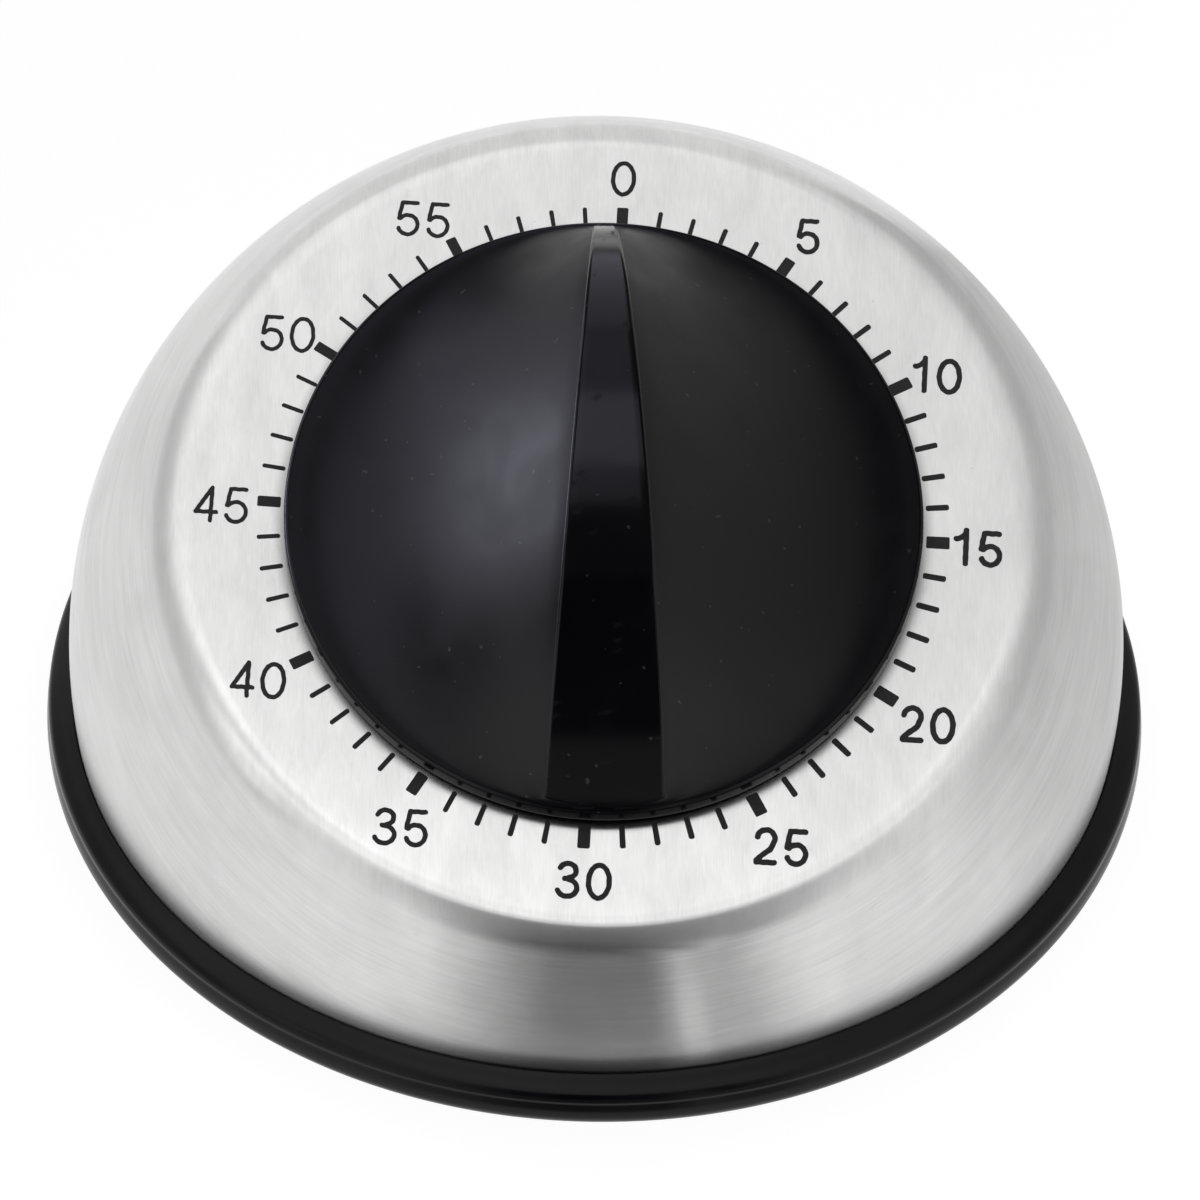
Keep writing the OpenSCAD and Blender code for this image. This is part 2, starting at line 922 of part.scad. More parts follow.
module release_lever() {
    color("darkkhaki")
        dial_frame()
            translate([0, 0, cam_bottom])
                linear_extrude(height = cam_top - cam_bottom)
                    difference() {
                        union() {
                            translate(release_place) circle(r = 2);
                            bar(release_place, release_foot + [0.65, 0], 1.2);
                            bar(release_place, release_tail, 1.2);
                        }
                        translate(release_place) circle(r = small_arbor);
                    }
}

module release_spring() {
    color("#5a6470")
        dial_frame() at(release_place, 0) coil_spring(small_arbor + 0.15, 0.3, -8.2, -4.3, 8);
}

shell();
minute_marks();
numerals();
knob();
knob_clip();
base_ring();
bottom_cover();
rubber_feet();
cover_screws();
dial_washer();
dial_nut();
front_bushing();
front_plate();
back_plate();
plate_pillars();
plate_screws();
main_arbor();
alarm_cam();
clutch_spring();
clutch_collar();
mainspring();
spring_post();
main_wheel();
second_pinion();
second_wheel();
third_pinion();
third_wheel();
escape_pinion();
escape_wheel();
pallet_arbor();
pallet_lever();
balance_bar();
bell();
bell_post();
bell_nut();
hammer_arbor();
hammer_arm();
hammer_head();
hammer_spring();
release_arbor();
release_lever();
release_spring();
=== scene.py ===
import json
import math

import bmesh
import bpy
import numpy as np
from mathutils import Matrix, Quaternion, Vector


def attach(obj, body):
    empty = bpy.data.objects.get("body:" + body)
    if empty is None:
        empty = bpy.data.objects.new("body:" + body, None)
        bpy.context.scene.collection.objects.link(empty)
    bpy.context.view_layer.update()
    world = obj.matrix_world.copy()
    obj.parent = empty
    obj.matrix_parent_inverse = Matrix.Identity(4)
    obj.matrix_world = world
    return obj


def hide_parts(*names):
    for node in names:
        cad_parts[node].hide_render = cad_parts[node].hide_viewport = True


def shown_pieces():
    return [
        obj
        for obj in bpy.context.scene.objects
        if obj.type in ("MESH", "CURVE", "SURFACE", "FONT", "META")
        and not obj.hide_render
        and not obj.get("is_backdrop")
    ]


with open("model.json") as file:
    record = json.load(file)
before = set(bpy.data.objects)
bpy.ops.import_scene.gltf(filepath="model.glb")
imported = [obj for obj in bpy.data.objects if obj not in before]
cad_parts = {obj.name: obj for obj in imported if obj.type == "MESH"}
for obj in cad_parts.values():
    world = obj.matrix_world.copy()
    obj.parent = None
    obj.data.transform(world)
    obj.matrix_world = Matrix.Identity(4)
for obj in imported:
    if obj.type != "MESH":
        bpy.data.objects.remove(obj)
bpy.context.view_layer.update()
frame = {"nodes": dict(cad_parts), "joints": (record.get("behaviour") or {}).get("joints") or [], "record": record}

# Sizes are in millimetres and angles in degrees, and MM turns millimetres into metres. Lamps and
# the camera stand well outside the object, so their places and sizes are in metres.
MM = 0.001

# ---------- the dial's own frame: u to the right, v up its slope, w out of it ----------

knob_joint = next(j for j in frame["joints"] if j["name"] == "knob_turn")
DIAL = np.array(knob_joint["pos_m"]) / MM
W_AXIS = -np.array(knob_joint["axis"])
U_AXIS = np.array([1.0, 0.0, 0.0])
V_AXIS = np.cross(W_AXIS, U_AXIS)
TILT = math.atan2(-W_AXIS[1], W_AXIS[2])


def placed(points):
    """Points in the dial frame, in mm, as points in the row frame, in metres."""
    p = np.asarray(points, float)
    out = DIAL + p[..., 0:1] * U_AXIS + p[..., 1:2] * V_AXIS + p[..., 2:3] * W_AXIS
    return out * MM


# ---------- mesh helpers ----------


def piece(name, points, faces, material, body, replaced, sharp=30, dial=True):
    mesh = bpy.data.meshes.new(name)
    where = placed(points) if dial else np.asarray(points, float) * MM
    mesh.from_pydata([tuple(p) for p in where], [], [tuple(f) for f in faces])
    bm = bmesh.new()
    bm.from_mesh(mesh)
    bmesh.ops.remove_doubles(bm, verts=bm.verts, dist=1e-7)
    bmesh.ops.recalc_face_normals(bm, faces=bm.faces)
    bm.to_mesh(mesh)
    bm.free()
    mesh.polygons.foreach_set("use_smooth", [True] * len(mesh.polygons))
    mesh.set_sharp_from_angle(angle=math.radians(sharp))
    mesh.materials.append(material)
    obj = bpy.data.objects.new(name, mesh)
    bpy.context.scene.collection.objects.link(obj)
    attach(obj, body)
    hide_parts(*replaced)
    return obj


def rings_to_faces(count, around, loop=False):
    """Quads between rings of points; loop joins the last ring to the first."""
    faces = []
    for i in range(count if loop else count - 1):
        a, b = i * around, (i + 1) % count * around
        for k in range(around):
            n = (k + 1) % around
            faces.append((a + k, a + n, b + n, b + k))
    return faces


def turned(profile, around):
    """Rings of a closed profile of (radius, height) turned about the row's Z axis."""
    a = np.linspace(0, 2 * math.pi, around, endpoint=False)
    rings = [np.stack([r * np.cos(a), r * np.sin(a), np.full(around, z)], 1) for r, z in profile]
    return np.concatenate(rings)


def arc(centre, radius, start, end, steps):
    """Points of an arc in a (radius, height) section, angles in degrees."""
    t = np.radians(np.linspace(start, end, steps + 1))
    return [(centre[0] + radius * math.cos(x), centre[1] + radius * math.sin(x)) for x in t]


# ---------- node helper ----------


class Paint:
    """Builds one procedural material; each call gives an output socket."""

    def __init__(self, name):
        self.material = bpy.data.materials.new(name)
        self.material.use_nodes = True
        self.tree = self.material.node_tree
        self.tree.nodes.clear()

    def node(self, kind, values=None, **settings):
        n = self.tree.nodes.new(kind)
        for key, value in settings.items():
            setattr(n, key, value)
        for key, value in (values or {}).items():
            if isinstance(value, bpy.types.NodeSocket):
                self.tree.links.new(value, n.inputs[key])
            else:
                n.inputs[key].default_value = value
        return n

    def math(self, operation, *values):
        return self.node("ShaderNodeMath", dict(enumerate(values)), operation=operation).outputs[0]

    def here(self, dial=True):
        """The piece's own coordinates in mm, in the dial frame or in the row frame."""
        where = self.node("ShaderNodeTexCoord").outputs["Object"]
        values = {"Vector": where, "Scale": (MM, MM, MM)}
        if dial:
            values["Location"] = tuple(DIAL * MM)
            values["Rotation"] = (TILT, 0, 0)
        return self.node("ShaderNodeMapping", values, vector_type="TEXTURE").outputs[0]

    def parts(self, vector):
        return self.node("ShaderNodeSeparateXYZ", {0: vector}).outputs

    def radius(self, x, y):
        squares = self.math("ADD", self.math("MULTIPLY", x, x), self.math("MULTIPLY", y, y))
        return self.math("SQRT", squares)

    def stretch(self, vector, x, y, z):
        return self.node("ShaderNodeMapping", {"Vector": vector, "Scale": (x, y, z)}).outputs[0]

    def noise(self, vector, scale=1.0, detail=2.0, rough=0.5, twist=0.0):
        values = {"Vector": vector, "Scale": scale, "Detail": detail, "Roughness": rough}
        values["Distortion"] = twist
        return self.node("ShaderNodeTexNoise", values).outputs[0]

    def span(self, value, low, high, out_low=0.0, out_high=1.0, smooth=True):
        values = {0: value, 1: low, 2: high, 3: out_low, 4: out_high}
        kind = "SMOOTHSTEP" if smooth else "LINEAR"
        return self.node("ShaderNodeMapRange", values, interpolation_type=kind).outputs[0]

    def blend(self, share, a, b):
        return self.node("ShaderNodeMix", {"Factor": share, "A": a, "B": b}, data_type="FLOAT").outputs[0]

    def tint(self, share, a, b):
        n = self.node("ShaderNodeMix", data_type="RGBA")
        for key, value in (("Factor_Float", share), ("A_Color", a), ("B_Color", b)):
            socket = next(s for s in n.inputs if s.identifier == key)
            if isinstance(value, bpy.types.NodeSocket):
                self.tree.links.new(value, socket)
            else:
                socket.default_value = value if key == "Factor_Float" else (*value, 1.0)
        return next(s for s in n.outputs if s.identifier == "Result_Color")

    def bump(self, height, strength, distance):
        values = {"Height": height, "Strength": strength, "Distance": distance * MM}
        return self.node("ShaderNodeBump", values).outputs[0]

    def done(self, **values):
        shader = self.node("ShaderNodeBsdfPrincipled", {k.replace("_", " "): v for k, v in values.items()})
        out = self.node("ShaderNodeOutputMaterial")
        self.tree.links.new(shader.outputs[0], out.inputs[0])
        return self.material


# ---------- materials ----------


def brushing_direction(p, x, y, flat):
    """The tangent of the brushing: round the dial's axis on the wall, up the slope on the flat dial."""
    side = p.math("SIGN", x)
    back = p.math("MULTIPLY", p.math("MULTIPLY", y, -1.0), side)
    around = p.node("ShaderNodeCombineXYZ", {0: back, 1: p.math("ABSOLUTE", x), 2: 0.0}).outputs[0]
    around = p.node("ShaderNodeVectorMath", {0: around}, operation="NORMALIZE").outputs[0]
    turn = p.node("ShaderNodeMix", {"Factor": flat}, data_type="VECTOR")
    p.tree.links.new(around, next(i for i in turn.inputs if i.identifier == "A_Vector"))
    next(i for i in turn.inputs if i.identifier == "B_Vector").default_value = (0, 1, 0)
    along = next(o for o in turn.outputs if o.identifier == "Result_Vector")
    values = {"Vector": along, "Rotation": (TILT, 0, 0)}
    return p.node("ShaderNodeMapping", values, vector_type="VECTOR").outputs[0]


def shell_steel():
    """Brushed steel: straight grain on the dial, brushing round the wall, stains, scuffs and specks, and a painted
    shadow ring round the knob's rim.
    """
    p = Paint("brushed_shell_steel")
    at = p.here()
    x, y, z = p.parts(at)
    flat = p.span(z, -2.2, -0.1)
    dial_lines = p.noise(p.stretch(at, 9, 0.45, 0.3), 1.0, 4, 0.6)
    wall_lines = p.noise(p.stretch(at, 0.16, 0.16, 7), 1.0, 4, 0.6, 0.3)
    lines = p.blend(flat, wall_lines, dial_lines)
    coarse = p.blend(
        flat,
        p.noise(p.stretch(at, 0.1, 0.1, 1.1), 1.0, 3, 0.55, 0.4),
        p.noise(p.stretch(at, 1.0, 0.35, 0.2), 1.0, 3, 0.6, 0.9),
    )
    clouds = p.noise(p.stretch(at, 0.2, 0.09, 0.12), 1.0, 3, 0.5, 0.8)
    shade = p.math("MULTIPLY", lines, p.blend(flat, 0.38, 0.3))
    shade = p.math("ADD", shade, p.math("MULTIPLY", coarse, 0.27))
    shade = p.math("ADD", shade, p.math("MULTIPLY", clouds, p.blend(flat, 0.33, 0.45)))
    shade = p.span(shade, 0.3, 0.7, 0.0, 1.0, smooth=False)
    colour = p.tint(shade, (0.605, 0.605, 0.603), (0.765, 0.765, 0.762))

    # Painted shadow: the flat dial is darkened in a ring at the knob's rim, fading out to 26.1 mm, where the
    # knob's contact shadow falls.
    painted_knob_shadow = p.math("MULTIPLY", p.span(p.radius(x, y), 26.1, 24.9), p.span(z, -0.5, -0.2))
    colour = p.tint(p.math("MULTIPLY", painted_knob_shadow, 0.55), colour, (0.2, 0.2, 0.2))
    scuffs = p.span(p.noise(p.stretch(at, 0.5, 0.5, 3.2), 1.0, 3, 0.7, 0.8), 0.66, 0.76)
    speck = p.span(p.noise(at, 1.6, 0, 0.5), 0.9, 0.95)
    worn = p.math("MULTIPLY", p.math("MULTIPLY", scuffs, p.math("SUBTRACT", 1.0, flat)), 0.35)
    worn = p.math("MAXIMUM", worn, p.math("MULTIPLY", speck, 0.5))
    colour = p.tint(worn, colour, (0.36, 0.36, 0.36))

    rough = p.math("ADD", p.span(shade, 0, 1, 0.25, 0.21), p.math("MULTIPLY", lines, 0.04))
    height = p.math("ADD", p.math("MULTIPLY", lines, 0.7), p.math("MULTIPLY", coarse, 0.3))
    return p.done(
        Base_Color=colour, Metallic=1.0, Roughness=rough, Anisotropic=0.92, Anisotropic_Rotation=0.25,
        Tangent=brushing_direction(p, x, y, flat), Normal=p.bump(height, 0.2, 0.006),
    )


def print_ink():
    """Matt black print, slightly mottled."""
    p = Paint("printed_ink")
    at = p.here()
    mottle = p.noise(at, 2.2, 3, 0.6)
    colour = p.tint(p.span(mottle, 0.35, 0.65), (0.008, 0.008, 0.009), (0.017, 0.017, 0.018))
    return p.done(
        Base_Color=colour, Roughness=p.span(mottle, 0.3, 0.7, 0.5, 0.68), IOR=1.3,
        Normal=p.bump(p.noise(at, 12, 2), 0.3, 0.01),
    )


def knob_black():
    """Moulded black plastic: matt finger faces, a polished grip, hairline scratches and dust."""
    p = Paint("knob_moulded_black")
    at = p.here()
    x, y, z = p.parts(at)
    polish = p.node("ShaderNodeAttribute", attribute_name="polish").outputs["Fac"]
    fine = p.noise(at, 5.0, 2, 0.6)
    cloud = p.noise(at, 0.18, 2, 0.5, 0.5)
    hair = p.noise(p.stretch(at, 1.0, 9.0, 1.0), 1.0, 2, 0.6, 1.2)
    scratch = p.span(hair, 0.73, 0.77)
    matt, glossy = p.span(cloud, 0.3, 0.7, 0.34, 0.42), p.span(cloud, 0.3, 0.7, 0.13, 0.18)
    rough = p.blend(polish, matt, glossy)
    rough = p.math("ADD", rough, p.math("MULTIPLY", scratch, 0.1))
    dust = p.span(p.noise(at, 1.7, 0), 0.82, 0.85)
    colour = p.tint(p.span(cloud, 0.3, 0.7), (0.0036, 0.0036, 0.0048), (0.0046, 0.0046, 0.006))
    colour = p.tint(p.math("MULTIPLY", dust, 0.22), colour, (0.2, 0.18, 0.15))
    height = p.math("SUBTRACT", p.math("MULTIPLY", fine, 0.5), p.math("MULTIPLY", scratch, 0.8))
    wall = p.math("MULTIPLY", p.span(p.radius(x, y), 24.75, 24.95), p.span(z, 2.05, 1.8))
    return p.done(
        Base_Color=colour, Roughness=rough, IOR=1.33, Specular_IOR_Level=p.blend(wall, 0.5, 0.08),
        Normal=p.bump(height, 0.12, 0.01),
    )


def ring_black():
    """Glossy moulded plastic with faint turned lines."""
    p = Paint("ring_moulded_black")
    at = p.here(dial=False)
    cloud = p.noise(at, 0.25, 2, 0.5)
    turned_lines = p.noise(p.stretch(at, 0.12, 0.12, 4), 1.0, 2, 0.6)
    colour = p.tint(p.span(cloud, 0.3, 0.7), (0.002, 0.002, 0.003), (0.003, 0.003, 0.004))
    rough = p.math("ADD", p.span(cloud, 0.3, 0.7, 0.17, 0.23), p.math("MULTIPLY", turned_lines, 0.06))
    return p.done(
        Base_Color=colour, Roughness=rough, IOR=1.26, Normal=p.bump(p.noise(at, 3, 2), 0.06, 0.01),
    )


def plain_metal(name, light, dark, rough, grain):
    """Plated, stamped, turned or blued metal: grain along the dial plane, stains and worn spots."""
    p = Paint(name)
    at = p.here()
    lines = p.noise(p.stretch(at, grain, 0.4, grain), 1.0, 3, 0.6)
    cloud = p.noise(at, 0.35, 3, 0.55, 0.6)
    stain = p.span(p.noise(at, 0.9, 3, 0.6), 0.58, 0.72)
    shade = p.math("ADD", p.math("MULTIPLY", lines, 0.45), p.math("MULTIPLY", cloud, 0.55))
    colour = p.tint(p.span(shade, 0.35, 0.65), dark, light)
    colour = p.tint(p.math("MULTIPLY", stain, 0.35), colour, tuple(c * 0.55 for c in dark))
    roughness = p.span(cloud, 0.3, 0.7, rough - 0.05, rough + 0.07)
    roughness = p.math("ADD", roughness, p.math("MULTIPLY", stain, 0.08))
    return p.done(
        Base_Color=colour, Metallic=1.0, Roughness=roughness, Normal=p.bump(lines, 0.25, 0.01),
    )


def plain_black(name, tone, rough, grain, depth, dial=False):
    """Moulded plastic or rubber with a fine grain."""
    p = Paint(name)
    at = p.here(dial)
    pebble = p.node("ShaderNodeTexVoronoi", {"Vector": at, "Scale": grain}).outputs["Distance"]
    cloud = p.noise(at, 0.3, 2, 0.5)
    dusty = p.span(p.noise(at, 0.7, 3, 0.6), 0.55, 0.75)
    low = tuple(tone * c for c in (0.85, 0.85, 0.88))
    high = tuple(tone * c for c in (1.15, 1.15, 1.2))
    colour = p.tint(p.span(cloud, 0.3, 0.7), low, high)
    colour = p.tint(p.math("MULTIPLY", dusty, 0.12), colour, (0.12, 0.115, 0.105))
    return p.done(
        Base_Color=colour, Roughness=p.span(cloud, 0.3, 0.7, rough - 0.05, rough + 0.05),
        Normal=p.bump(p.math("ADD", pebble, p.noise(at, grain * 2, 2)), 0.35, depth),
    )


SHELL = shell_steel()
INK = print_ink()
KNOB = knob_black()
RING = ring_black()
CARRIED = {
    "cover_black": plain_black("cover_moulded_black", 0.02, 0.5, 2.6, 0.03),
    "foot_rubber": plain_black("foot_rubber_matt", 0.028, 0.78, 4.0, 0.05),
    "plated_steel": plain_metal("zinc_plated", (0.66, 0.67, 0.68), (0.5, 0.52, 0.55), 0.33, 2.5),
    "plate_steel": plain_metal("stamped_plate", (0.6, 0.62, 0.65), (0.44, 0.46, 0.5), 0.38, 3.5),
    "arbor_steel": plain_metal("turned_steel", (0.74, 0.74, 0.75), (0.6, 0.6, 0.62), 0.2, 5.0),
    "train_brass": plain_metal("stamped_brass", (0.8, 0.6, 0.28), (0.62, 0.44, 0.18), 0.3, 3.0),
    "lever_brass": plain_metal("lever_brass_sheet", (0.74, 0.56, 0.27), (0.56, 0.41, 0.18), 0.34, 3.0),
    "spring_steel": plain_metal("blued_steel", (0.25, 0.28, 0.35), (0.12, 0.14, 0.2), 0.27, 4.0),
    "bell_steel": plain_metal("nickel_plated", (0.82, 0.81, 0.79), (0.7, 0.69, 0.67), 0.16, 1.5),
    "brushed_shell": SHELL,
    "print_ink": INK,
    "knob_black": KNOB,
    "ring_black": RING,
}

for part in frame["record"]["subparts"]:
    node = frame["nodes"][part["node"]]
    node.data.materials.clear()
    node.data.materials.append(CARRIED[part["material_slot"]])

# ---------- shell ----------

DOME_RADIUS = 43.0
SHEET = 0.6
FLAT = 25.84  # from the dome's centre out to the dial
SHOULDER = 4.0
HOLE = 4.1
FOOT_LEVEL = 4.4
FLANGE = 36.0
DOME_HEIGHT = float(DIAL[2] - FLAT * W_AXIS[2])
AROUND = 480
azimuths = np.linspace(0, 2 * math.pi, AROUND, endpoint=False)


def shell_section(radius, flat, shoulder):
    """The part of a section that is turned about the dial's axis, and the polar angle where it ends."""
    reach = math.sqrt((radius - shoulder) ** 2 - (flat - shoulder) ** 2)
    slope = math.degrees(math.atan2(flat - shoulder, reach))
    level = flat - FLAT
    flats = [(r, level) for r in np.linspace(HOLE, reach, 22)]
    return flats + arc((reach, level - shoulder), shoulder, 90, slope, 18)[1:], 90 - slope


def dome_rings(radius, first, level, steps):
    """Rings down the sphere from a polar angle to where it meets a level of the row frame."""
    a, b = np.sin(azimuths) * math.sin(TILT), math.cos(TILT)
    drop = (level - DOME_HEIGHT) / radius
    last = np.arctan2(a, b) + np.arccos(drop / np.hypot(a, b))
    rings = []
    for i in range(1, steps + 1):
        polar = math.radians(first) + (last - math.radians(first)) * i / steps
        across = radius * np.sin(polar)
        rings.append(np.stack(
            [across * np.cos(azimuths), across * np.sin(azimuths), radius * np.cos(polar) - FLAT], 1
        ))
    return rings


def row_to_dial(points):
    p = np.asarray(points, float) - DIAL
    return np.stack([p @ U_AXIS, p @ V_AXIS, p @ W_AXIS], 1)


def dial_to_row(points):
    return placed(points) / MM


def ring_at(r, w):
    return np.stack([r * np.cos(azimuths), r * np.sin(azimuths), np.full(AROUND, w)], 1)


outer_section, outer_polar = shell_section(DOME_RADIUS, FLAT, SHOULDER)
inner_section, inner_polar = shell_section(DOME_RADIUS - SHEET, FLAT - SHEET, SHOULDER - SHEET)
rings = [ring_at(r, w) for r, w in outer_section]
rings += dome_rings(DOME_RADIUS, outer_polar, FOOT_LEVEL, 44)
foot = dial_to_row(rings[-1])
radial = foot[:, :2] / np.linalg.norm(foot[:, :2], axis=1)[:, None]
for level in (FOOT_LEVEL, FOOT_LEVEL + SHEET):
    rings.append(row_to_dial(np.concatenate([radial * FLANGE, np.full((AROUND, 1), level)], 1)))
inside = dome_rings(DOME_RADIUS - SHEET, inner_polar, FOOT_LEVEL + SHEET, 24)
rings += inside[::-1]
rings += [ring_at(r, w) for r, w in inner_section[::-1]]
piece(
    "steel_shell", np.concatenate(rings), rings_to_faces(len(rings), AROUND, loop=True),
    SHELL, "case", ["shell"], sharp=35,
)

# ---------- base ring ----------

RING_R = 45.07
RING_LOW = 0.8
RING_SEAT = 4.4
RING_INSIDE, RING_STEP = 36.5, 41.5
EDGE = 1.5
RING_AROUND = 360
section = [(RING_INSIDE, 2.4), (RING_STEP, 2.4), (RING_STEP, RING_LOW)]
section += arc((RING_R - EDGE, RING_LOW + EDGE), EDGE, -90, 0, 14)
section += [(45.06, 2.6), (45.03, 2.9), (44.98, 3.15), (44.92, 3.4)]
section += arc((44.12, 3.75), 0.8, -14, 58, 10)
section += [(44.3, 4.58), (43.9, 4.75), (43.5, 4.9), (43.2, 5.02)]
section += arc((43.02, 4.95), 0.15, 60, 200, 6)
section += [(42.83, 4.6), (42.83, RING_SEAT), (RING_INSIDE, RING_SEAT)]
piece(
    "black_base_ring", turned(section, RING_AROUND),
    rings_to_faces(len(section), RING_AROUND, loop=True),
    RING, "case", ["base_ring"], sharp=40, dial=False,
)

# ---------- minute marks ----------

PRINT_TURN = 3.7
INK_HEIGHT = 0.04
MARK_END = 27.18
MARK_LENGTH = 1.84
MAJOR_STEP = 30.0
FIRST_MINOR, MINOR_STEP = 6.45, 5.7
HEAVY_SIDE = 120.0
rng = np.random.default_rng(7)


def boldness(clock):
    """From 0 to 1: the print is heaviest at the lower right."""
    return 0.5 + 0.5 * math.cos(math.radians(clock - HEAVY_SIDE))


def mark_outline(width, length, corner, wobble):
    """A rectangle with round corners and slightly uneven edges, centred, as (x, y) points."""
    points = []
    for cx, cy, start in ((1, 1, 0), (-1, 1, 90), (-1, -1, 180), (1, -1, 270)):
        for k in range(6):
            a = math.radians(start + 90 * k / 5)
            points.append((
                cx * (width / 2 - corner) + corner * math.cos(a),
                cy * (length / 2 - corner) + corner * math.sin(a),
            ))
    out = np.array(points)
    return out + rng.normal(0, wobble, out.shape)


points, faces = [], []
for minute in range(60):
    major = minute % 5 == 0
    past_major = 0 if major else FIRST_MINOR + (minute % 5 - 1) * MINOR_STEP
    clock = MAJOR_STEP * (minute // 5) + past_major
    bold = boldness(clock)
    width = 0.85 + 0.16 * bold if major else 0.32 + 0.15 * bold
    corner = 0.12 if major else width * (0.49 - 0.12 * bold)
    outline = mark_outline(width, MARK_LENGTH, corner, 0.008)
    a = math.radians(90 - clock - PRINT_TURN)
    middle = MARK_END - MARK_LENGTH / 2
    across = np.array([math.sin(a), -math.cos(a)])
    out = np.array([math.cos(a), math.sin(a)])
    flat_points = out * middle + outline[:, :1] * across + outline[:, 1:] * out
    first, count = len(points), len(flat_points)
    for w in (0.0, INK_HEIGHT):
        points += [(x, y, w) for x, y in flat_points]
    faces.append([first + count + k for k in range(count)])
    faces.append([first + k for k in range(count)][::-1])
    faces += [
        (first + k, first + (k + 1) % count, first + count + (k + 1) % count, first + count + k)
        for k in range(count)
    ]
piece("printed_marks", points, faces, INK, "case", ["minute_marks"])

# ---------- numerals ----------


def curve(cx, cy, rx, ry, start, end, steps):
    """Points of an elliptical arc."""
    t = np.radians(np.linspace(start, end, steps + 1))
    return [(cx + rx * math.cos(x), cy + ry * math.sin(x)) for x in t]


def digit_strokes(d, pen):
    """Centre lines of a plain digit from 0 to 5, one unit high, centred on x = 0."""
    e = pen / 2
    if d == 0:
        return [curve(0, 0.5, 0.325 - e, 0.5 - e, 0, 360, 40)]
    if d == 1:
        return [[(0.14, e), (0.14, 1 - e)], curve(-0.16, 1.0, 0.3, 0.27, -4, -80, 8)]
    if d == 2:
        top = curve(0, 0.7, 0.29 - e, 0.3 - e, 172, -28, 22)
        low = [(0.12, 0.42), (-0.08, 0.26), (-0.22, 0.12), (-0.29 + e, e)]
        return [top + low + [(0.3 - e, e)]]
    if d == 3:
        top = curve(-0.01, 0.745, 0.27 - e, 0.255 - e, 160, -82, 20)
        low = curve(-0.01, 0.29, 0.31 - e, 0.29 - e, 84, -160, 24)
        return [top, low, [(-0.08, 0.535), (0.03, 0.54)]]
    if d == 4:
        return [[(0.13, e), (0.13, 1 - e), (-0.31 + e, 0.285), (0.32 - e, 0.285)]]
    return [
        [(0.27 - e, 1 - e), (-0.17, 1 - e), (-0.24, 0.5)],
        curve(-0.005, 0.325, 0.305 - e, 0.325 - e, 142, -158, 30),
    ]


def stroke_distance(grid, strokes):
    """Distance from each grid point to the nearest centre line."""
    best = np.full(grid.shape[:-1], 1e9)
    for line in strokes:
        for a, b in zip(line[:-1], line[1:]):
            a, b = np.array(a), np.array(b)
            d = b - a
            t = np.clip(((grid - a) @ d) / max(d @ d, 1e-12), 0, 1)
            best = np.minimum(best, np.linalg.norm(grid - a - t[..., None] * d, axis=-1))
    return best


def filled(field, xs, ys):
    """Polygons where field is under 0 on a grid, cut along its zero line. Points are shared."""
    points, index, faces = [], {}, []

    def corner(i, j):
        return add(("c", i, j), (xs[i], ys[j]))

    def crossing(i, j, m, n):
        key = ("e", *min((i, j), (m, n)), *max((i, j), (m, n)))
        t = field[i, j] / (field[i, j] - field[m, n])
        return add(key, (xs[i] + t * (xs[m] - xs[i]), ys[j] + t * (ys[n] - ys[j])))

    def add(key, value):
        if key not in index:
            index[key] = len(points)
            points.append(value)
        return index[key]

    for i in range(len(xs) - 1):
        for j in range(len(ys) - 1):
            cell = [(i, j), (i + 1, j), (i + 1, j + 1), (i, j + 1)]
            inside = [field[c] < 0 for c in cell]
            if not any(inside):
                continue
            face = []
            for k in range(4):
                here, following = cell[k], cell[(k + 1) % 4]
                if inside[k]:
                    face.append(corner(*here))
                if inside[k] != inside[(k + 1) % 4]:
                    face.append(crossing(*here, *following))
            faces.append(face)
    return points, faces


def raised(points, faces, height):
    """Flat faces made into a thin closed solid, from w = 0 up."""
    count = len(points)
    edges = {}
    for face in faces:
        for a, b in zip(face, face[1:] + face[:1]):
            edges[(a, b)] = edges.get((a, b), 0) + 1
    border = [(a, b) for a, b in edges if (b, a) not in edges]
    solid = [(x, y, 0.0) for x, y in points] + [(x, y, height) for x, y in points]
    walls = [(a, b, b + count, a + count) for a, b in border]
    return solid, [[k + count for k in f] for f in faces] + [f[::-1] for f in faces] + walls


NUMERAL_HEIGHT = 3.1
NUMERAL_R = 29.75
GRID_STEP = 0.05
PITCH = 0.77  # from one digit to the next, as a share of the height
